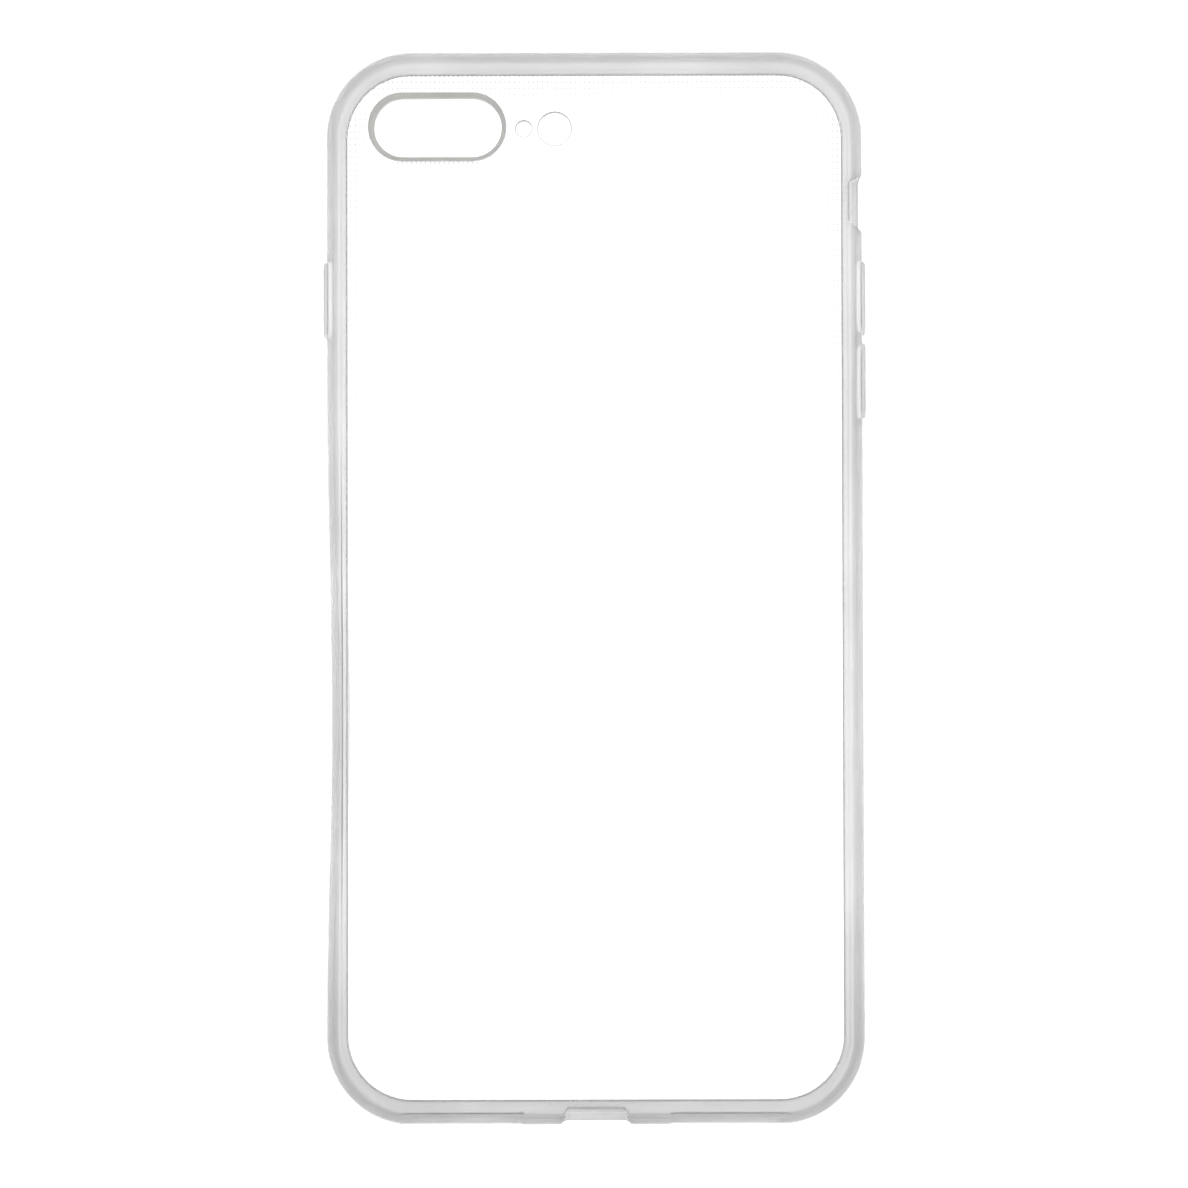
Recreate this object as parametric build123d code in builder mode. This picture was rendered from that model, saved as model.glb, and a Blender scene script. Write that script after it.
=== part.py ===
from build123d import *
import os

os.makedirs("parts", exist_ok=True)

# A clear two-material case for a slab phone, lying on its front lip with the back plate up.
# Millimetres. Origin: centre of the lip plane. +X: volume-button side, +Y: camera end, +Z: out of the back.

# ---------------------------------------------------------------- driving dimensions
phone_length = 158.2
phone_width = 77.9
phone_thickness = 7.3

wall = 1.3  # side wall of the soft frame
corner_radius = 12.9  # outer corner in plan
lip_height = 0.9  # how far the lip stands in front of the glass
plate_thickness = 1.2
back_edge_radius = 3.8
front_edge_radius = 1.3

seam_inset_side = 3.25  # outer wall face to the seam between frame and plate
seam_inset_top = 3.95
seam_inset_bottom = 3.95
tongue_width = 0.8  # the plate's edge reaches this far under the frame's flange

lip_inset_side = 2.45  # outer wall face to the lip's inner edge
lip_inset_top = 2.1
lip_inset_bottom = 2.4

camera_centre = (-23.45, 68.7)
camera_spacing = 10.4  # between the centres of the opening's round ends
camera_opening = 8.9
ring_wall = 0.7
ring_height = 0.7

flash_centre = (-5.9, 68.4)
flash_diameter = 4.95
microphone_centre = (-10.5, 68.4)
microphone_diameter = 2.4

button_height = 3.2
button_stand_out = 0.47  # beyond the side wall
button_depth = 0.9  # the pad's inner face, below the side wall's outer face
web_thickness = 0.3
web_rim_depth = 0.3  # the web's outer rim, below the side wall's outer face
web_margin = 0.9  # width of the flexible web around a pad
web_between_pads = 0.4  # the same, where two pads are neighbours

# name, side (+1 right, -1 left), lowest y, highest y, web below the pad, web above the pad
buttons = [
    ("power", -1, 37.4, 48.9, web_margin, web_margin),
    ("volume_up", 1, 37.7, 48.9, web_between_pads, web_margin),
    ("volume_down", 1, 25.2, 36.6, web_margin, web_between_pads),
]

# wall, centre along it, then (length, lowest z, highest z, corner) of the outer mouth and the inner throat
openings = [
    ((1, 0, 0), 57.5, (8.2, 2.3, 7.1, 1.6), (7.8, 2.4, 6.8, 1.4)),  # mute switch
    ((0, -1, 0), 0.0, (10.2, 2.1, 7.2, 1.7), (9.8, 2.2, 6.9, 1.5)),  # charging port
    ((0, -1, 0), -20.1, (17.6, 2.6, 6.6, 1.8), (16.0, 3.3, 5.8, 1.2)),  # microphone slot
    ((0, -1, 0), 20.1, (17.6, 2.6, 6.6, 1.8), (16.0, 3.3, 5.8, 1.2)),  # speaker slot
]

# A scoop notches the wall over its whole height and leans inwards towards the back, so a finger or a plug gets in.
# wall, centre along it, then (length on the wall's face, length inside, depth) at the front and at the back face
scoops = [
    ((1, 0, 0), 57.5, (9.6, 7.2, 0.55), (9.6, 4.6, 2.3)),  # over the mute switch
    ((0, -1, 0), 0.0, (10.8, 7.6, 0.45), (12.4, 7.2, 2.8)),  # over the charging port
]

# ---------------------------------------------------------------- worked-out sizes
case_width = phone_width + 2 * wall
case_length = phone_length + 2 * wall
plate_inner_z = lip_height + phone_thickness
plate_outer_z = plate_inner_z + plate_thickness
tongue_top_z = plate_inner_z + plate_thickness / 2
button_z = lip_height + phone_thickness / 2
past = 1.0  # how far a cutting tool runs past the face that it cuts


def inset_outline(side, top, bottom):
    """The outer plan outline, moved in by its own amount on the sides, top and bottom."""
    with Locations((0, (bottom - top) / 2)):
        RectangleRounded(
            case_width - 2 * side, case_length - top - bottom, corner_radius - side
        )


def seam_outline(grow=0):
    """The plate's visible outline, or the outline of the tongue around it."""
    inset_outline(seam_inset_side - grow, seam_inset_top - grow, seam_inset_bottom - grow)


def wall_plane(outwards, depth=0.0):
    """Parallel to a wall, below its outer face: local y is +Z and local z points outwards."""
    normal = Vector(outwards)
    reach = abs(normal.X) * case_width / 2 + abs(normal.Y) * case_length / 2
    return Plane(origin=normal * (reach - depth), x_dir=Vector(0, 0, 1).cross(normal), z_dir=normal)


def button_slot(side, low, high, height):
    """A round-ended slot on a side wall, from y = low to y = high, at the buttons' height."""
    with Locations((side * (low + high) / 2, button_z)):
        SlotOverall(high - low, height)


def level_plane(outwards, centre, z):
    """Level, on a wall's outer face at a place along it: local y points into the case."""
    normal = Vector(outwards)
    along = normal.cross(Vector(0, 0, -1))
    reach = abs(normal.X) * case_width / 2 + abs(normal.Y) * case_length / 2
    return Plane(origin=normal * reach + along * centre + Vector(0, 0, z), x_dir=along, z_dir=(0, 0, 1))


def scoop_outline(face_length, inner_length, depth):
    """A trapezoid with its short side inside the wall and its long side in front of the wall's face."""
    slant = (face_length - inner_length) / 2 / depth
    outer = face_length / 2 + past * slant
    inner = inner_length / 2
    Polygon((-outer, -past), (outer, -past), (inner, depth), (-inner, depth), align=None)


def opening_outline(centre, size):
    """A rounded rectangle on a wall: length, lowest z, highest z and corner radius."""
    length, low, high, corner = size
    with Locations((centre, (low + high) / 2)):
        RectangleRounded(length, high - low, corner)


# ---------------------------------------------------------------- space inside the case
pocket_ceiling_radius = 0.9
pocket_floor_radius = 1.9
pocket_floor_z = 1.0

with BuildPart() as phone_space:
    with BuildSketch(Plane.XY.offset(pocket_floor_z)):
        inset_outline(wall, wall, wall)
    extrude(amount=plate_inner_z - pocket_floor_z)
    fillet(phone_space.faces().sort_by(Axis.Z)[-1].edges(), radius=pocket_ceiling_radius)
    fillet(phone_space.faces().sort_by(Axis.Z)[0].edges(), radius=pocket_floor_radius)

# ---------------------------------------------------------------- back plate
camera_groove = 0.4  # depth of the ring's groove around the plate's edge
camera_tongue_z = (plate_inner_z + 0.4, plate_inner_z + 0.8)
seam_round = 0.2
hole_round = 0.15


def camera_outline(grow):
    """The camera opening's pill outline, grown by an offset."""
    with Locations(camera_centre):
        SlotCenterToCenter(camera_spacing, camera_opening + 2 * grow)


with BuildPart() as back_plate:
    with BuildSketch(Plane.XY.offset(plate_inner_z)):
        seam_outline(grow=tongue_width)
    extrude(amount=tongue_top_z - plate_inner_z)
    with BuildSketch(Plane.XY.offset(tongue_top_z)):
        seam_outline()
    extrude(amount=plate_outer_z - tongue_top_z)
    fillet(back_plate.faces().sort_by(Axis.Z)[-1].edges(), radius=seam_round)
    with BuildSketch(Plane.XY.offset(plate_inner_z)):
        with Locations(flash_centre):
            Circle(flash_diameter / 2)
        with Locations(microphone_centre):
            Circle(microphone_diameter / 2)
    extrude(amount=plate_thickness, mode=Mode.SUBTRACT)
    hole_rims = back_plate.faces().sort_by(Axis.Z)[-1].edges().filter_by(GeomType.CIRCLE)
    fillet(hole_rims.filter_by(lambda e: e.is_closed), radius=hole_round)
    with BuildSketch(Plane.XY.offset(plate_inner_z)):
        camera_outline(grow=ring_wall)
    extrude(amount=plate_thickness, mode=Mode.SUBTRACT)
    with BuildSketch(Plane.XY.offset(camera_tongue_z[0])):
        camera_outline(grow=ring_wall)
        with Locations(camera_centre):
            SlotCenterToCenter(
                camera_spacing,
                camera_opening + 2 * (ring_wall - camera_groove),
                mode=Mode.SUBTRACT,
            )
    extrude(amount=camera_tongue_z[1] - camera_tongue_z[0])

back_plate.part.label = "back_plate"
export_step(back_plate.part, "parts/back_plate.step")

# ---------------------------------------------------------------- camera ring
ring_round = 0.3

with BuildPart() as camera_ring:
    with BuildSketch(Plane.XY.offset(plate_inner_z)):
        camera_outline(grow=ring_wall)
        with Locations(camera_centre):
            SlotCenterToCenter(camera_spacing, camera_opening, mode=Mode.SUBTRACT)
    extrude(amount=plate_thickness + ring_height)
    fillet(camera_ring.faces().sort_by(Axis.Z)[-1].edges(), radius=ring_round)
    with BuildSketch(Plane.XY.offset(camera_tongue_z[0])):
        camera_outline(grow=ring_wall)
        with Locations(camera_centre):
            SlotCenterToCenter(
                camera_spacing,
                camera_opening + 2 * (ring_wall - camera_groove),
                mode=Mode.SUBTRACT,
            )
    extrude(amount=camera_tongue_z[1] - camera_tongue_z[0], mode=Mode.SUBTRACT)

camera_ring.part.label = "camera_ring"
export_step(camera_ring.part, "parts/camera_ring.step")

# ---------------------------------------------------------------- soft frame
lip_round = 0.3

with BuildPart() as bumper_frame:
    with BuildSketch():
        inset_outline(0, 0, 0)
    extrude(amount=plate_outer_z)
    fillet(bumper_frame.faces().sort_by(Axis.Z)[-1].edges(), radius=back_edge_radius)
    fillet(bumper_frame.faces().sort_by(Axis.Z)[0].edges(), radius=front_edge_radius)
    add(phone_space.part, mode=Mode.SUBTRACT)
    with BuildSketch():
        inset_outline(lip_inset_side, lip_inset_top, lip_inset_bottom)
    extrude(amount=plate_inner_z / 2, mode=Mode.SUBTRACT)
    with BuildSketch(Plane.XY.offset(plate_inner_z)):
        seam_outline(grow=tongue_width)
    extrude(amount=tongue_top_z - plate_inner_z, mode=Mode.SUBTRACT)
    with BuildSketch(Plane.XY.offset(tongue_top_z)):
        seam_outline()
    extrude(amount=plate_outer_z, mode=Mode.SUBTRACT)
    lip_rim = bumper_frame.faces().sort_by(Axis.Z)[0].inner_wires()[0]
    fillet(lip_rim.edges(), radius=lip_round)
    for outwards, centre, mouth, throat in openings:
        with BuildSketch(wall_plane(outwards)) as mouth_sketch:
            opening_outline(centre, mouth)
        with BuildSketch(wall_plane(outwards, depth=wall)) as throat_sketch:
            opening_outline(centre, throat)
        loft(mode=Mode.SUBTRACT)
        extrude(mouth_sketch.sketch, amount=past, mode=Mode.SUBTRACT)
        extrude(throat_sketch.sketch, amount=-past, mode=Mode.SUBTRACT)
    for outwards, centre, front, back in scoops:
        for z, outline in ((-past, front), (button_z, front), (plate_outer_z, back)):
            with BuildSketch(level_plane(outwards, centre, z)):
                scoop_outline(*outline)
        loft(ruled=True, mode=Mode.SUBTRACT)
    for name, side, low, high, below, above in buttons:
        with BuildSketch(wall_plane((side, 0, 0), depth=-past)):
            button_slot(side, low - below, high + above, button_height + 2 * web_margin)
        extrude(amount=-(wall + 2 * past), mode=Mode.SUBTRACT)

bumper_frame.part.label = "bumper_frame"
export_step(bumper_frame.part, "parts/bumper_frame.step")

# ---------------------------------------------------------------- buttons and their webs
button_round = 0.42

for name, side, low, high, below, above in buttons:
    outwards = (side, 0, 0)
    window = (side, low - below, high + above, button_height + 2 * web_margin)
    pad = (side, low, high, button_height)

    with BuildPart() as button:
        with BuildSketch(wall_plane(outwards, depth=button_depth)):
            button_slot(*pad)
        extrude(amount=button_depth + button_stand_out)
        fillet(button.faces().sort_by(Axis((0, 0, 0), outwards))[-1].edges(), radius=button_round)

    button.part.label = f"{name}_button"
    export_step(button.part, f"parts/{name}_button.step")

    with BuildPart() as web:
        with BuildSketch(wall_plane(outwards, depth=web_rim_depth + web_thickness)):
            button_slot(*window)
        extrude(amount=web_thickness)
        with BuildSketch(wall_plane(outwards, depth=web_rim_depth + web_thickness)):
            button_slot(*window)
        with BuildSketch(wall_plane(outwards, depth=button_depth)):
            button_slot(*pad)
        loft()
        with BuildSketch(wall_plane(outwards, depth=web_rim_depth)):
            button_slot(*window)
        with BuildSketch(wall_plane(outwards, depth=button_depth - web_thickness)):
            button_slot(*pad)
        loft(mode=Mode.SUBTRACT)
        with BuildSketch(wall_plane(outwards)):
            button_slot(*pad)
        extrude(amount=-wall, mode=Mode.SUBTRACT)

    web.part.label = f"{name}_web"
    export_step(web.part, f"parts/{name}_web.step")
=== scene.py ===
from math import asin, cos, degrees, radians, sin

import bmesh
import bpy
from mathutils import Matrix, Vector


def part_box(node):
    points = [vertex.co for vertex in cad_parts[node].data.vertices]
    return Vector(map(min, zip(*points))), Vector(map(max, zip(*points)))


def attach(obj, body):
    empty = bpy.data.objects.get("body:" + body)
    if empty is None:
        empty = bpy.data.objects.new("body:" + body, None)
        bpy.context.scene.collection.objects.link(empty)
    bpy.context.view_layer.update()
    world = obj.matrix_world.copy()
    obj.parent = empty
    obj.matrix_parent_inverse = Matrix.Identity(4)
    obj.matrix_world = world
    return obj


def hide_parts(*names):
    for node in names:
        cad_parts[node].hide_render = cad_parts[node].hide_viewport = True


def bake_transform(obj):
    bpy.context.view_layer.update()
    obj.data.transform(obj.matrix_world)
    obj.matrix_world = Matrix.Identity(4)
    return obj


# A clear slab-phone case, seen from behind. Sizes are in millimetres. Meshes and shader coordinates are in
# metres, so sizes are multiplied by MM where they get there.
MM = 0.001

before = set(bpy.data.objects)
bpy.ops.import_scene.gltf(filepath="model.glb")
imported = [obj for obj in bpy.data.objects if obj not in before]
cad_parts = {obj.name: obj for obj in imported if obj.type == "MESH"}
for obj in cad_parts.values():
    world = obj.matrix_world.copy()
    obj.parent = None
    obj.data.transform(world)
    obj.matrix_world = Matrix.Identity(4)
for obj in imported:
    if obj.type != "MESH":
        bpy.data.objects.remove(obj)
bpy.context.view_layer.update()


def box_mm(node):
    """Lowest and highest corner of a CAD node, in millimetres."""
    low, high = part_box(node)
    return low / MM, high / MM


# ---------------------------------------------------------------- sizes read from the frame
frame_low, frame_high = box_mm("bumper_frame")
plate_low, plate_high = box_mm("back_plate")
ring_low, ring_high = box_mm("camera_ring")
half_width = frame_high.x
half_length = frame_high.y
plate_inner_z = plate_low.z
plate_outer_z = plate_high.z

# ---------------------------------------------------------------- sizes that the boxes don't give
corner_radius = 12.9  # outer corner in plan
wall = 1.3
back_edge_radius = 3.8
front_edge_radius = 1.3
lip_insets = {"side": 2.45, "top": 2.1, "bottom": 2.4}
lip_round = 0.3
tongue_width = 0.8  # the plate's edge reaches this far under the frame's flange
tongue_top_z = (plate_inner_z + plate_outer_z) / 2
floor_radius = 1.9  # between the lip's inner face and the wall
floor_arc_z = 2.9
ceiling_radius = 0.9
edge_round = 0.14  # on the frame's two inner edges
gap = 0.02  # air between two clear solids that touch, so that light passes both of their faces

seam_insets = {
    "side": half_width - plate_high.x + tongue_width,
    "top": half_length - plate_high.y + tongue_width,
    "bottom": half_length + plate_low.y + tongue_width,
}

# The left wall of the photographed case bows in a little, most of all just below its middle.
bow_depth = 0.72
bow_centre_y = -20.6
bow_reach = {"up": 55.0, "down": 44.0}

# Openings: wall's direction, centre along it, and for the mouth and the throat their
# (length, lowest z, highest z, corner radius).
openings = {
    "mute": ((1, 0), 57.5, (8.4, 2.25, 7.1, 1.6), (7.8, 2.4, 6.8, 1.4)),
    "port": ((0, -1), 0.0, (10.4, 2.05, 7.2, 1.7), (9.8, 2.2, 6.9, 1.5)),
    "microphone_slot": ((0, -1), -20.1, (17.4, 2.7, 6.5, 1.8), (16.0, 3.3, 5.8, 1.2)),
    "speaker_slot": ((0, -1), 20.1, (17.4, 2.7, 6.5, 1.8), (16.0, 3.3, 5.8, 1.2)),
}
slots = ("microphone_slot", "speaker_slot")

# Notches over the two big openings: wall's direction, centre along it, and at the lip, halfway up
# and at the back their (length on the wall's face, length inside, depth).
scoops = {
    "mute": ((1, 0), 57.5, (9.6, 6.8, 0.2), (9.6, 6.4, 1.05), (9.8, 5.2, 2.4)),
    "port": ((0, -1), 0.0, (10.6, 7.8, 0.0), (10.8, 7.7, 1.0), (12.8, 8.1, 3.05)),
}

recess_depth = 0.12  # of the shallow recess round each slot
recess_reach = 2.15  # from the wall's outer face to the recess's upper edge, on the back
recess_margin = {"ends": 0.3, "below": 0.2}  # past the slot's mouth

# The camera ring's opening sits off its middle in the photo, so that its rim is widest at the top left.
ring_opening_shift = Vector((0.12, -0.16))
ring_opening_narrowing = 0.1

# Depths below the wall's face of a web's two sides, at the window's rim and at the pad's foot.
web_rim = (0.15, 0.55)
web_foot = (0.45, 0.9)

button_names = ("power", "volume_up", "volume_down")
quadrants = ((1, 1), (-1, 1), (-1, -1), (1, -1))


# ---------------------------------------------------------------- numbers and outlines
def mix(start, end, share):
    """The value that lies this share of the way from start to end."""
    return start + (end - start) * share


def eased(share):
    """The share, with a gentle start and end."""
    return share * share * (3 - 2 * share)


def arc(centre, radius, start, end, steps):
    """Points along an arc between two angles in degrees, both ends included."""
    angles = [radians(start + (end - start) * k / steps) for k in range(steps + 1)]
    return [(centre[0] + radius * cos(a), centre[1] + radius * sin(a)) for a in angles]


def line(start, end, steps):
    """Points along a straight line, without its ends."""
    return [tuple(Vector(start).lerp(Vector(end), k / steps)) for k in range(1, steps)]


def round_corner(start, corner, end, steps=4):
    """Points along a quadratic curve that rounds a corner, both ends included."""
    a, b, c = Vector(start), Vector(corner), Vector(end)
    return [tuple(a.lerp(b, k / steps).lerp(b.lerp(c, k / steps), k / steps)) for k in range(steps + 1)]


def rounded_rectangle(half_x, half_y, radius, steps=10):
    """Points round a rectangle with round corners, centred on 0, 0."""
    straight = 0.01  # the shortest half side, so that no two corners' points fall together
    radius = min(radius, half_x - straight, half_y - straight)
    points = []
    for k, (sx, sy) in enumerate(quadrants):
        centre = (sx * (half_x - radius), sy * (half_y - radius))
        points += arc(centre, radius, 90 * k, 90 * (k + 1), steps)
    return points


def on_wall(outwards, along, depth, z):
    """A point by its wall, its place along the wall, its depth below the outer face and its height."""
    if outwards[0]:
        return (outwards[0] * (half_width - depth), along, z)
    return (along, outwards[1] * (half_length - depth), z)


# ---------------------------------------------------------------- mesh helpers
def finish_normals(mesh, sharp_degrees=35):
    """Faces point outwards and shade smoothly, apart from edges sharper than the angle."""
    work = bmesh.new()
    work.from_mesh(mesh)
    bmesh.ops.recalc_face_normals(work, faces=work.faces)
    for face in work.faces:
        face.smooth = True
    for edge in work.edges:
        edge.smooth = not edge.is_manifold or edge.calc_face_angle() < radians(sharp_degrees)
    work.to_mesh(mesh)
    work.free()


def loft_faces(rings, count, closed):
    """Quads between rings of count points each, as a closed tube or with a cap at both ends."""
    faces = []
    for ring in range(rings if closed else rings - 1):
        here, there = ring * count, (ring + 1) % rings * count
        for k in range(count):
            after = (k + 1) % count
            faces.append((here + k, here + after, there + after, there + k))
    if not closed:
        faces.append(tuple(range(count)))
        faces.append(tuple(range((rings - 1) * count, rings * count)))
    return faces


def loft(name, rings, closed, material):
    """A smooth-shaded object whose skin runs from ring to ring of points in millimetres."""
    points = [Vector(point) * MM for ring in rings for point in ring]
    mesh = bpy.data.meshes.new(name)
    mesh.from_pydata(points, [], loft_faces(len(rings), len(rings[0]), closed))
    mesh.materials.append(material)
    finish_normals(mesh)
    piece = bpy.data.objects.new(name, mesh)
    bpy.context.scene.collection.objects.link(piece)
    return piece


def cut(piece, tools):
    """Takes the tools' solids away from a piece. Cut faces keep the tools' materials."""
    for tool in tools:
        modifier = piece.modifiers.new(tool.name, "BOOLEAN")
        modifier.operation = "DIFFERENCE"
        modifier.solver = "EXACT"
        modifier.material_mode = "TRANSFER"
        modifier.object = tool
    depsgraph = bpy.context.evaluated_depsgraph_get()
    mesh = bpy.data.meshes.new_from_object(piece.evaluated_get(depsgraph))
    piece.modifiers.clear()
    piece.data = mesh
    for tool in tools:
        bpy.data.objects.remove(tool)
    finish_normals(mesh)


# ---------------------------------------------------------------- shader helpers
def new_material(name):
    """A new material, its node tree with only an output in it, and that output."""
    material = bpy.data.materials.new(name)
    material.use_nodes = True
    tree = material.node_tree
    tree.nodes.clear()
    return material, tree, tree.nodes.new("ShaderNodeOutputMaterial")


def principled(tree, output, **inputs):
    """The output's surface shader, with some of its inputs set."""
    shader = tree.nodes.new("ShaderNodeBsdfPrincipled")
    for name, value in inputs.items():
        shader.inputs[name.replace("_", " ")].default_value = value
    tree.links.new(shader.outputs[0], output.inputs["Surface"])
    return shader


def absorption(tree, output, per_metre):
    """A dark grey volume, which makes clear plastic look greyer the more of it light passes."""
    volume = tree.nodes.new("ShaderNodeVolumeAbsorption")
    volume.inputs["Color"].default_value = (0.1, 0.1, 0.1, 1)
    volume.inputs["Density"].default_value = per_metre
    tree.links.new(volume.outputs[0], output.inputs["Volume"])


def maths(tree, operation, *sources):
    """The result of a Math node on the sources."""
    node = tree.nodes.new("ShaderNodeMath")
    node.operation = operation
    for k, source in enumerate(sources):
        tree.links.new(source, node.inputs[k])
    return node.outputs[0]


def near(tree, source, middle, reach):
    """1 where the source is no further than reach from the middle, and else 0."""
    result = maths(tree, "COMPARE", source)
    compare = result.node
    compare.inputs[1].default_value = middle
    compare.inputs[2].default_value = reach
    return result


def ranged(tree, source, low, high, from_low=0.0, from_high=1.0):
    """The source's values between from_low and from_high spread between low and high."""
    spread = tree.nodes.new("ShaderNodeMapRange")
    limits = {"From Min": from_low, "From Max": from_high, "To Min": low, "To Max": high}
    for name, value in limits.items():
        spread.inputs[name].default_value = value
    tree.links.new(source, spread.inputs["Value"])
    return spread.outputs[0]


def object_place(tree):
    """The object's own coordinates, in metres."""
    return tree.nodes.new("ShaderNodeTexCoord").outputs["Object"]


def part_of(tree, vector, axis):
    """One part, X, Y or Z, of a vector."""
    parts = tree.nodes.new("ShaderNodeSeparateXYZ")
    tree.links.new(vector, parts.inputs[0])
    return parts.outputs[axis]


# Most of a noise texture's values lie in this range.
noise_range = (0.3, 0.7)


def noise(tree, scale, detail):
    """A noise texture on the object's own coordinates; scale is in features per metre."""
    texture = tree.nodes.new("ShaderNodeTexNoise")
    texture.inputs["Scale"].default_value = scale
    texture.inputs["Detail"].default_value = detail
    tree.links.new(object_place(tree), texture.inputs["Vector"])
    return texture.outputs["Fac"]


def mottled(tree, scale, detail, low, high):
    """Values between low and high that vary irregularly over the surface."""
    return ranged(tree, noise(tree, scale, detail), low, high, *noise_range)


def mottled_colour(tree, scale, detail, low, high):
    """Colours between low and high that vary irregularly over the surface."""
    ramp = tree.nodes.new("ShaderNodeValToRGB")
    for stop, position, colour in zip(ramp.color_ramp.elements, noise_range, (low, high)):
        stop.position = position
        stop.color = (*colour, 1)
    tree.links.new(noise(tree, scale, detail), ramp.inputs["Fac"])
    return ramp.outputs["Color"]


def point_distance(tree, pitch, stretch, shift, randomness):
    """Distance in pitches to the nearest of many points in plan. Rows shift towards the port end."""
    flat = tree.nodes.new("ShaderNodeMapping")
    flat.inputs["Scale"].default_value = (1, stretch, 0)
    flat.inputs["Location"].default_value = (0, shift * stretch * MM, 0)
    points = tree.nodes.new("ShaderNodeTexVoronoi")
    points.inputs["Scale"].default_value = 1 / (pitch * MM)
    points.inputs["Randomness"].default_value = randomness
    tree.links.new(object_place(tree), flat.inputs["Vector"])
    tree.links.new(flat.outputs[0], points.inputs["Vector"])
    return points.outputs["Distance"]


def bump(tree, source, height, shader):
    """Relief of the shader's surface from the source; height is in millimetres."""
    node = tree.nodes.new("ShaderNodeBump")
    node.inputs["Distance"].default_value = height * MM
    node.inputs["Strength"].default_value = 1.0
    tree.links.new(source, node.inputs["Height"])
    tree.links.new(node.outputs[0], shader.inputs["Normal"])


# ---------------------------------------------------------------- materials
soft_ior = 1.42
hard_ior = 1.5


def make_clear_soft():
    """Soft clear plastic, a little milky, that looks grey through its depth, with painted shade that darkens
    it towards both ends, most towards the port end.
    """
    material, tree, output = new_material("clear_soft")
    shader = principled(tree, output, IOR=soft_ior, Transmission_Weight=0.65)
    along = part_of(tree, object_place(tree), "Y")
    milk = mottled(tree, scale=70, detail=5, low=0.83, high=0.93)
    # painted shade: the base colour darkens towards the port end, and a little towards the camera end
    port_end_painted_shade = ranged(tree, along, low=0.82, high=1.0, from_low=-78 * MM, from_high=-45 * MM)
    camera_end_painted_shade = ranged(tree, along, low=1.0, high=0.94, from_low=55 * MM, from_high=75 * MM)
    painted_end_shade = maths(tree, "MULTIPLY", port_end_painted_shade, camera_end_painted_shade)
    tree.links.new(maths(tree, "MULTIPLY", milk, painted_end_shade), shader.inputs["Base Color"])
    tree.links.new(mottled(tree, scale=400, detail=2, low=0.14, high=0.22), shader.inputs["Roughness"])
    bump(tree, noise(tree, scale=900, detail=1), 0.001, shader)
    absorption(tree, output, per_metre=12)
    return material


def make_matt_soft():
    """The same plastic where it is matt, with a dark base colour that is painted shade: in the notches and
    along the slots' recesses.
    """
    material, tree, output = new_material("matt_painted_shade_soft")
    shader = principled(tree, output, IOR=soft_ior, Transmission_Weight=0.4, Roughness=0.4)
    tree.links.new(mottled(tree, scale=300, detail=3, low=0.32, high=0.42), shader.inputs["Base Color"])
    bump(tree, noise(tree, scale=1500, detail=2), 0.004, shader)
    absorption(tree, output, per_metre=20)
    return material


def make_polished_soft():
    """The same plastic in the two big openings, where the wall is low and polished: a milkier copy, painted
    light so that it looks lighter.
    """
    material, tree, output = new_material("polished_painted_light_soft")
    shader = principled(tree, output, IOR=soft_ior, Transmission_Weight=0.3)
    tree.links.new(mottled(tree, scale=300, detail=3, low=0.76, high=0.86), shader.inputs["Base Color"])
    tree.links.new(mottled(tree, scale=400, detail=2, low=0.10, high=0.16), shader.inputs["Roughness"])
    absorption(tree, output, per_metre=12)
    return material


def make_ring_soft():
    """Satin soft plastic whose greenish grey base colour is painted shade: the clear rim looks dark through
    its depth.
    """
    material, tree, output = new_material("ring_soft")
    shader = principled(tree, output, IOR=hard_ior, Transmission_Weight=0.3, Roughness=0.35)
    # painted shade: the rim's grey
    dark, pale = (0.62, 0.62, 0.595), (0.70, 0.70, 0.675)
    tree.links.new(mottled_colour(tree, 200, 3, dark, pale), shader.inputs["Base Color"])
    bump(tree, noise(tree, scale=1500, detail=3), 0.01, shader)
    return material


def make_button_soft():
    """Glossy clear soft plastic, thicker than the wall."""
    material, tree, output = new_material("button_soft")
    shader = principled(tree, output, IOR=soft_ior, Transmission_Weight=0.5, Roughness=0.2)
    dark, pale = (0.90, 0.90, 0.90), (0.96, 0.96, 0.96)
    tree.links.new(mottled_colour(tree, 200, 3, dark, pale), shader.inputs["Base Color"])
    bump(tree, noise(tree, scale=900, detail=1), 0.002, shader)
    absorption(tree, output, per_metre=12)
    return material


# The plate's fine dots. Radii are in pitches, and a tint is the share of light that it takes away.
dot_pitch = 0.70
dot_stretch = 0.75  # pitch across over pitch along
dot_shift = 0.15
dot_core, dot_radius = 0.12, 0.30
dot_tint = {"least": 0.18, "most": 0.38}
painted_shade_border = 5.0  # the painted shade makes the dots darker over this width towards the seam
dotted_row = 12.4  # length of the clear row of dots below the camera opening

dust_pitch = 22.0
dust_radius = 0.010
dust_tint = 0.6

# Painted shade darkens the rounded rims of the plate's holes: they are the faces whose normal's Z is near
# this.
rim_slope, rim_slope_reach = 0.62, 0.35
rim_painted_shade_share = 0.88


def border_nearness(tree, place, border, edge):
    """0 up to the border's inner side and 1 at the plate's edge; border and edge are in millimetres."""
    return ranged(tree, place, low=0, high=1, from_low=(edge - border) * MM, from_high=edge * MM)


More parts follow.
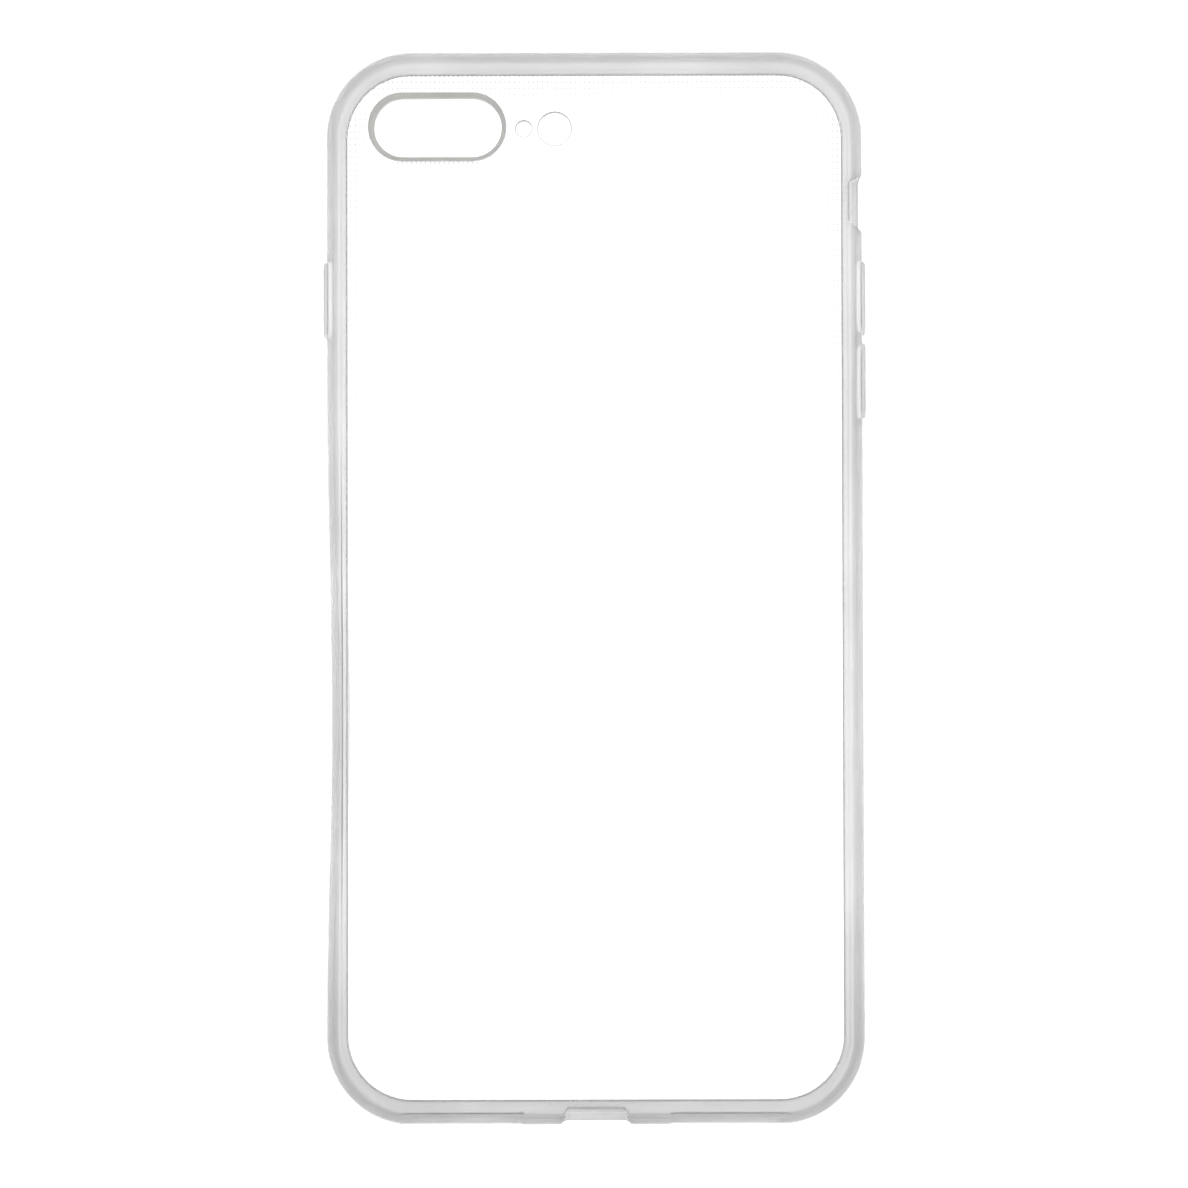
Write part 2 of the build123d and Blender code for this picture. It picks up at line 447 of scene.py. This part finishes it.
def edge_dot_shade_and_row(tree):
    """0 where the dots are faint, and 1 at the edges and in the row where they are clearest; towards the
    edges the darker dots are painted shade.
    """
    across = part_of(tree, object_place(tree), "X")
    along = part_of(tree, object_place(tree), "Y")
    side_edge, end_edge = plate_high.x - tongue_width, plate_high.y - tongue_width
    side = border_nearness(tree, maths(tree, "ABSOLUTE", across), painted_shade_border, side_edge)
    towards_camera = border_nearness(tree, along, end_edge + half_length / 2, end_edge)
    side = maths(tree, "MULTIPLY", side, towards_camera)
    end = border_nearness(tree, along, painted_shade_border, end_edge)
    row_x, row_y = (ring_low.x + ring_high.x) / 2, ring_low.y - dot_pitch / 2
    row_across = near(tree, across, row_x * MM, dotted_row / 2 * MM)
    row_along = near(tree, along, row_y * MM, dot_pitch / 2 * MM)
    row = maths(tree, "MULTIPLY", row_across, row_along)
    return maths(tree, "MAXIMUM", maths(tree, "MAXIMUM", side, end), row)


def make_clear_plate():
    """Water-clear polished plastic with a fine dot texture, painted shade on the hole rims and on the dots
    towards the edges, and a few specks of dust.
    """
    material, tree, output = new_material("clear_plate")
    shader = principled(tree, output, IOR=hard_ior, Transmission_Weight=1.0, Roughness=0.03)
    to_dot = point_distance(tree, dot_pitch, dot_stretch, dot_shift, randomness=0.0)
    dots = ranged(tree, to_dot, low=1, high=0, from_low=dot_core, from_high=dot_radius)
    # painted shade: the dots darken towards the plate's edges
    strength = ranged(tree, edge_dot_shade_and_row(tree), dot_tint["least"], dot_tint["most"])
    dot_shade = maths(tree, "MULTIPLY", dots, strength)
    to_speck = point_distance(tree, dust_pitch, 1, dot_shift, randomness=1.0)
    dust_shade = ranged(tree, to_speck, low=dust_tint, high=0, from_low=0, from_high=dust_radius)
    # painted shade on the sloping faces of the holes' rounded rims
    facing = part_of(tree, tree.nodes.new("ShaderNodeNewGeometry").outputs["True Normal"], "Z")
    rims = near(tree, maths(tree, "ABSOLUTE", facing), rim_slope, rim_slope_reach)
    rim_shade = ranged(tree, rims, 0, rim_painted_shade_share)
    shade = maths(tree, "MAXIMUM", maths(tree, "MAXIMUM", dot_shade, dust_shade), rim_shade)
    tree.links.new(ranged(tree, shade, low=1, high=0), shader.inputs["Base Color"])
    bump(tree, dots, 0.0005, shader)
    return material


clear_soft = make_clear_soft()
matt_painted_shade_soft = make_matt_soft()
polished_painted_light_soft = make_polished_soft()
ring_soft = make_ring_soft()
button_soft = make_button_soft()
clear_plate = make_clear_plate()


# ---------------------------------------------------------------- soft frame
def plan_stations(straight_step=2.5, corner_steps=22):
    """Corner-circle centre and outward normal at each station round the case, anticlockwise."""
    reach = Vector((half_width - corner_radius, half_length - corner_radius))
    corners = [Vector((sx * reach.x, sy * reach.y)) for sx, sy in quadrants]
    stations = []
    for k, centre in enumerate(corners):
        following = corners[(k + 1) % 4]
        angles = [radians(90 * (k + step / corner_steps)) for step in range(corner_steps + 1)]
        normals = [Vector((cos(a), sin(a))) for a in angles]
        stations += [(centre, normal) for normal in normals]
        steps = round((following - centre).length / straight_step)
        stations += [(centre.lerp(following, step / steps), normals[-1]) for step in range(1, steps)]
    return stations


def inset_at(normal, insets):
    """An inset that changes from its side value to its top or bottom value round a corner."""
    end = insets["top"] if normal.y > 0 else insets["bottom"]
    return mix(insets["side"], end, abs(normal.y))


def frame_section(seam, lip):
    """The wall's cross-section: depth below the outer wall face, and height."""
    seam -= gap
    rebate_z = tongue_top_z + gap
    rebate = seam - tongue_width
    # seam face and the round into the back edge
    seam_angle = asin(max(0, back_edge_radius - seam) / back_edge_radius)
    back_centre_z = plate_outer_z - back_edge_radius
    corner = (seam, back_centre_z + back_edge_radius * cos(seam_angle))
    start = 90 + degrees(seam_angle + edge_round / back_edge_radius)
    back = arc((back_edge_radius, back_centre_z), back_edge_radius, start, 180, steps=18)
    points = [(seam, rebate_z)] + line((seam, rebate_z), (seam, corner[1] - edge_round), steps=2)
    points += round_corner((seam, corner[1] - edge_round), corner, back[0])[:-1] + back
    # outer wall, front edge and lip
    points += line(back[-1], (0, front_edge_radius), steps=5)
    points += arc((front_edge_radius, front_edge_radius), front_edge_radius, 180, 270, steps=8)
    points += line((front_edge_radius, 0), (lip - lip_round, 0), steps=2)
    points += arc((lip - lip_round, lip_round), lip_round, 270, 360, steps=4)
    # lip's inner face, pocket floor, wall and ceiling
    floor_centre = (wall + floor_radius, floor_arc_z)
    lip_angle = asin((floor_centre[0] - lip) / floor_radius)
    lip_corner = (lip, floor_arc_z - floor_radius * cos(lip_angle))
    start = 270 - degrees(lip_angle + edge_round / floor_radius)
    floor_arc = arc(floor_centre, floor_radius, start, 180, steps=9)
    points += round_corner((lip, lip_corner[1] - edge_round), lip_corner, floor_arc[0])[:-1] + floor_arc
    ceiling_centre = (wall + ceiling_radius, plate_inner_z - ceiling_radius)
    points += line(floor_arc[-1], (wall, ceiling_centre[1]), steps=5)
    points += arc(ceiling_centre, ceiling_radius, 180, 90, steps=7)
    points += [(rebate, plate_inner_z), (rebate, rebate_z)]
    points += line((rebate, rebate_z), (seam, rebate_z), steps=2)
    return points


def bow(y, depth, z):
    """How far the left wall leans in at a point: none at the seam, all of it in the wall and the lip."""
    away = y - bow_centre_y
    share = min(1, abs(away) / bow_reach["up" if away > 0 else "down"])
    flange = max(0, min(1, (depth - wall) / (seam_insets["side"] - wall)))
    held = eased(flange) if z > floor_arc_z else 0
    return bow_depth * cos(radians(90) * share) ** 2 * (1 - held)


def make_frame_mesh():
    """The whole frame before its openings and windows are cut."""
    rings = []
    for centre, normal in plan_stations():
        ring = []
        for depth, z in frame_section(inset_at(normal, seam_insets), inset_at(normal, lip_insets)):
            point = centre + normal * (corner_radius - depth)
            lean = bow(point.y, depth, z) * max(0, -normal.x)
            ring.append((point.x + lean, point.y, z))
        rings.append(ring)
    return loft("soft_frame", rings, closed=True, material=clear_soft)


def opening_cutter(name, outwards, centre, mouth, throat):
    """A trumpet-shaped tool: the throat's outline inside, flaring out to the mouth's."""
    outside, inside = 1.2, 1.0
    flare_steps = 12
    depths = [-outside, -outside / 2]
    depths += [wall * k / flare_steps for k in range(flare_steps + 1)]
    depths += [wall + inside]
    rings = []
    for depth in depths:
        outwards_share = 1 - min(1, depth / wall)
        length = mix(throat[0], mouth[0], outwards_share**1.5)
        low, high, corner = (mix(a, b, outwards_share) for a, b in zip(throat[1:], mouth[1:]))
        outline = rounded_rectangle(length / 2, (high - low) / 2, corner)
        middle = (low + high) / 2
        rings.append([on_wall(outwards, centre + a, depth, middle + b) for a, b in outline])
    # the two big openings' faces take the milkier copy that is painted light
    surface = polished_painted_light_soft if name in scoops else clear_soft
    return loft(f"{name}_cutter", rings, closed=False, material=surface)


def scoop_cutter(name, outwards, centre, *outlines):
    """A tool that notches the wall over its whole height and leans inwards towards the back."""
    over = 0.5  # past the lip and past the back
    out = 0.1  # the flanks' foot, outside the wall's face
    flank_steps = 12
    upper_steps = 6
    halfway_z = (frame_low.z + plate_outer_z) / 2
    bends = [frame_low.z, halfway_z, plate_outer_z]
    levels = [-over, 0, 1.5, 3]  # below halfway the scoop leans evenly, and a few levels will do
    climb = plate_outer_z + over - halfway_z
    levels += [halfway_z + climb * k / upper_steps for k in range(upper_steps + 1)]
    rings = []
    for z in levels:
        upper = 1 if z < halfway_z else 2
        share = max(0, (z - bends[upper - 1]) / (bends[upper] - bends[upper - 1]))
        face, inner, depth = (mix(a, b, share) for a, b in zip(outlines[upper - 1], outlines[upper]))
        flank = []
        for k in range(flank_steps + 1):
            fall = k / flank_steps
            flank.append((inner / 2 + (face - inner) / 2 * fall, depth - (depth + out) * eased(fall)))
        outline = [(-along, inwards) for along, inwards in reversed(flank)] + flank
        outline += [(face / 2 + over, -2 * over), (-face / 2 - over, -2 * over)]
        rings.append([on_wall(outwards, centre + along, inwards, z) for along, inwards in outline])
    # the notches' faces are matt and painted dark as shade
    return loft(f"{name}_scoop", rings, closed=False, material=matt_painted_shade_soft)


def recess_cutter(name, outwards, centre, length, low_z):
    """A tool that sinks the wall's face and its round back edge by an even depth, with sloping ends."""
    bevel = 0.3
    over = 1  # outside the wall's face
    back_over = 0.3  # past the back
    centre_z = plate_outer_z - back_edge_radius
    skin_z = centre_z + back_edge_radius * cos(asin(1 - recess_reach / back_edge_radius))
    # place from the recess's end, and share of its depth
    end_slope = [(-bevel, -0.1), (0, 0.6), (bevel, 1)]
    stations = end_slope + [(length - along, sink) for along, sink in reversed(end_slope)]
    rings = []
    for along, sink in stations:
        depth = recess_depth * sink
        radius = back_edge_radius - depth
        top_angle = degrees(asin((back_edge_radius - recess_reach + bevel) / radius))
        outline = [(-over, low_z - bevel), (depth, low_z)]
        outline += arc((back_edge_radius, centre_z), radius, 180, 90 + top_angle, steps=10)
        last = outline[-1]
        outline += [(2 * recess_reach - last[0], 2 * skin_z - last[1]), (-over, plate_outer_z + back_over)]
        place = centre - length / 2 + along
        rings.append([on_wall(outwards, place, inwards, z) for inwards, z in outline])
    tool = loft(f"{name}_recess", rings, closed=False, material=clear_soft)
    # the side that slopes up through the skin leaves the recess's upper edge, which is matt and painted dark
    # as shade
    tool.data.materials.append(matt_painted_shade_soft)
    upper_edge = len(outline) - 3
    for ring in range(len(rings) - 1):
        tool.data.polygons[ring * len(outline) + upper_edge].material_index = 1
    return tool


def window_cutter(name, outwards, low, high, height, middle_z):
    """A pill-shaped tool for a button's window, with a small round at the wall's outer face."""
    rim = 0.1
    outside, inside = 1.0, 1.0
    # depth below the wall's face, and how far the window is wider there
    rim_profile = [(-outside, 1.2 * rim), (0, 0.7 * rim), (0.3 * rim, 0.3 * rim)]
    rim_profile += [(rim, 0), (wall + inside, 0)]
    rings = []
    for depth, grow in rim_profile:
        outline = rounded_rectangle((high - low) / 2 + grow, height / 2 + grow, height / 2 + grow)
        rings.append([on_wall(outwards, (low + high) / 2 + a, depth, middle_z + b) for a, b in outline])
    return loft(f"{name}_cutter", rings, closed=False, material=clear_soft)


soft_frame = make_frame_mesh()
cutters = [scoop_cutter(name, *places) for name, places in scoops.items()]
for name in slots:
    outwards, centre, mouth, throat = openings[name]
    recess_length = mouth[0] + 2 * recess_margin["ends"]
    cutters.append(recess_cutter(name, outwards, centre, recess_length, mouth[1] - recess_margin["below"]))
cutters += [opening_cutter(name, *places) for name, places in openings.items()]
for name in button_names:
    web_low, web_high = box_mm(f"{name}_web")
    side = 1 if web_low.x > 0 else -1
    height = web_high.z - web_low.z
    middle_z = (web_low.z + web_high.z) / 2
    cutters.append(window_cutter(name, (side, 0), web_low.y, web_high.y, height, middle_z))
cut(soft_frame, cutters)
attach(soft_frame, "case_shell")
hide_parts("bumper_frame")


# ---------------------------------------------------------------- camera ring
def make_camera_ring():
    """A pill-shaped rim with a round top, whose outer groove holds the plate's edge."""
    ring_wall = 0.7
    top_round = 0.3
    outer_chamfer, inner_chamfer = 0.05, 0.1
    inner_face_height = 0.7
    groove_depth = 0.4
    tongue_low, tongue_high = 0.4, 0.8  # the plate's edge in the groove, above the plate's inner face
    groove_low, groove_high = plate_inner_z + tongue_low - gap, plate_inner_z + tongue_high + gap
    bottom, top = ring_low.z, ring_high.z
    # inset from the ring's outer face, and height
    section = [(0, bottom + outer_chamfer), (outer_chamfer, bottom)]
    section += [(ring_wall - inner_chamfer, bottom), (ring_wall, bottom + inner_chamfer)]
    section += [(ring_wall, bottom + inner_face_height)]
    section += arc((ring_wall - top_round, top - top_round), top_round, 0, 90, steps=6)
    section += arc((top_round, top - top_round), top_round, 90, 180, steps=6)
    section += [(0, groove_high), (groove_depth, groove_high)]
    section += [(groove_depth, groove_low), (0, groove_low)]
    centre_x, centre_y, _ = (ring_low + ring_high) / 2
    half_x, half_y = (ring_high.x - ring_low.x) / 2 - gap, (ring_high.y - ring_low.y) / 2 - gap
    outlines = []
    for inset, z in section:
        share = max(0, (inset - groove_depth) / (ring_wall - groove_depth))
        narrowing = ring_opening_narrowing * share
        outline = rounded_rectangle(half_x - inset - narrowing, half_y - inset, half_y + gap, steps=24)
        x, y = Vector((centre_x, centre_y)) + ring_opening_shift * share
        outlines.append([(x + a, y + b, z) for a, b in outline])
    return loft("camera_rim", list(zip(*outlines)), closed=True, material=ring_soft)


camera_rim = make_camera_ring()
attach(camera_rim, "case_shell")
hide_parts("camera_ring")


# ---------------------------------------------------------------- buttons and their webs
def make_pad(name, side, low, high):
    """A round-ended pad with a rolled outer edge and a flat face."""
    edge_roll = 0.42
    foot_chamfer = 0.1
    face_insets = (0.9, 1.3)
    middle = (low + high) / 2
    half_y, half_z = (high.y - low.y) / 2, (high.z - low.z) / 2
    inner_x, outer_x = sorted((abs(low.x), abs(high.x)))
    # inset from the pad's outline, and distance from the case's middle
    profile = [(foot_chamfer, inner_x), (0, inner_x + foot_chamfer)]
    for angle in range(0, 91, 15):
        turn = radians(angle)
        profile.append((edge_roll - edge_roll * cos(turn), outer_x - edge_roll + edge_roll * sin(turn)))
    profile += [(inset, outer_x) for inset in face_insets]
    rings = []
    for inset, x in profile:
        outline = rounded_rectangle(half_y - inset, half_z - inset, half_z - inset, steps=16)
        rings.append([(side * x, middle.y + a, middle.z + b) for a, b in outline])
    return loft(f"{name}_pad", rings, closed=False, material=button_soft)


def make_web(name, side, window_low, window_high, pad_low, pad_high):
    """A thin dished membrane from the window's rim in to the pad's foot."""
    window = (window_low + window_high) / 2
    pad = (pad_low + pad_high) / 2
    window_half = ((window_high.y - window_low.y) / 2 - gap, (window_high.z - window_low.z) / 2 - gap)
    pad_half = ((pad_high.y - pad_low.y) / 2 + gap, (pad_high.z - pad_low.z) / 2 + gap)
    steps = 8
    shares = [k / steps for k in range(steps + 1)]
    # share of the way from rim to foot, and depth: in along the outer side and back along the inner side
    profile = [(share, mix(web_rim[0], web_foot[0], eased(share))) for share in shares]
    profile += [(share, mix(web_rim[1], web_foot[1], eased(share))) for share in reversed(shares)]
    outlines = []
    for share, depth in profile:
        half_y, half_z = (mix(a, b, share) for a, b in zip(window_half, pad_half))
        centre_y = mix(window.y, pad.y, share)
        outline = rounded_rectangle(half_y, half_z, half_z, steps=16)
        outlines.append([(side * (half_width - depth), centre_y + a, window.z + b) for a, b in outline])
    return loft(f"{name}_membrane", list(zip(*outlines)), closed=True, material=clear_soft)


for name in button_names:
    pad_low, pad_high = box_mm(f"{name}_button")
    web_low, web_high = box_mm(f"{name}_web")
    side = 1 if pad_low.x > 0 else -1
    pad = make_pad(name, side, pad_low, pad_high)
    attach(pad, f"{name}_button")
    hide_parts(f"{name}_button")
    web = make_web(name, side, web_low, web_high, pad_low, pad_high)
    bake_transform(web)
    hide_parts(f"{name}_web")

# ---------------------------------------------------------------- back plate, as the CAD has it
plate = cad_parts["back_plate"]
plate.data.materials.clear()
plate.data.materials.append(clear_plate)

# ---------------------------------------------------------------- studio; its lengths are in metres
floor_half = 20.0
floor_drop = 0.05 * MM  # keeps the clear lip's face off the floor's
painted_glow_radius = {"full": 0.13, "faint": 0.3}  # the painted pool of light, round the case
painted_glow = {"full": 0.5, "faint": 0.1}


def make_floor_material():
    """A pale matt floor that gives off a painted pool of soft light, strongest under and round the case,
    which lightens the case's shadow.
    """
    material, tree, output = new_material("studio_floor")
    pale = (0.9, 0.9, 0.9, 1)
    shader = principled(tree, output, Roughness=0.9, Base_Color=pale, Specular_IOR_Level=0.0)
    shader.inputs["Emission Color"].default_value = (1, 1, 1, 1)
    away = tree.nodes.new("ShaderNodeVectorMath")
    away.operation = "LENGTH"
    tree.links.new(object_place(tree), away.inputs[0])
    # painted pool of light round the case
    strength = ranged(
        tree,
        away.outputs["Value"],
        low=painted_glow["full"],
        high=painted_glow["faint"],
        from_low=painted_glow_radius["full"],
        from_high=painted_glow_radius["faint"],
    )
    tree.links.new(strength, shader.inputs["Emission Strength"])
    material.cycles.emission_sampling = "NONE"  # quicker, and no noisier for so large and even a light
    return material


def make_floor():
    corners = [(sx * floor_half, sy * floor_half, -floor_drop) for sx, sy in quadrants]
    mesh = bpy.data.meshes.new("studio_floor")
    mesh.from_pydata(corners, [], [(0, 1, 2, 3)])
    mesh.materials.append(make_floor_material())
    floor = bpy.data.objects.new("studio_floor", mesh)
    bpy.context.scene.collection.objects.link(floor)
    return floor


def make_sky():
    """Soft white light from overhead, dimmer lower down and pale at the horizon; the camera sees it white."""
    world = bpy.data.worlds.new("studio_sky")
    world.use_nodes = True
    tree = world.node_tree
    direction = tree.nodes.new("ShaderNodeTexCoord").outputs["Generated"]
    upwards = part_of(tree, direction, "Z")
    overhead = ranged(tree, upwards, low=0.35, high=1.0, from_low=0.1, from_high=0.5)
    horizon = ranged(tree, upwards, low=1.0, high=0.35, from_low=0.02, from_high=0.12)
    light = maths(tree, "MAXIMUM", overhead, horizon)
    seen_directly = tree.nodes.new("ShaderNodeLightPath").outputs["Is Camera Ray"]
    background = tree.nodes["Background"]
    tree.links.new(maths(tree, "MAXIMUM", light, seen_directly), background.inputs["Strength"])
    background.inputs["Color"].default_value = (1, 1, 1, 1)
    world.cycles.sampling_method = "NONE"  # as for the floor
    return world


make_floor()
bpy.context.scene.world = make_sky()

camera_distance = 0.6
camera_lean = radians(1.35)
camera_roll = radians(-0.13)
aim = Vector((-0.2, -1.17, plate_outer_z)) * MM
camera_data = bpy.data.cameras.new("camera")
camera_data.lens = 122.0
camera = bpy.data.objects.new("camera", camera_data)
camera.location = aim + Vector((0, -sin(camera_lean), cos(camera_lean))) * camera_distance
camera.rotation_euler = (camera_lean, 0, camera_roll)
bpy.context.scene.collection.objects.link(camera)
bpy.context.scene.camera = camera
bpy.context.scene.view_settings.view_transform = "Standard"
bpy.context.scene.cycles.blur_glossy = 0  # its blur darkens what is seen through clear plastic
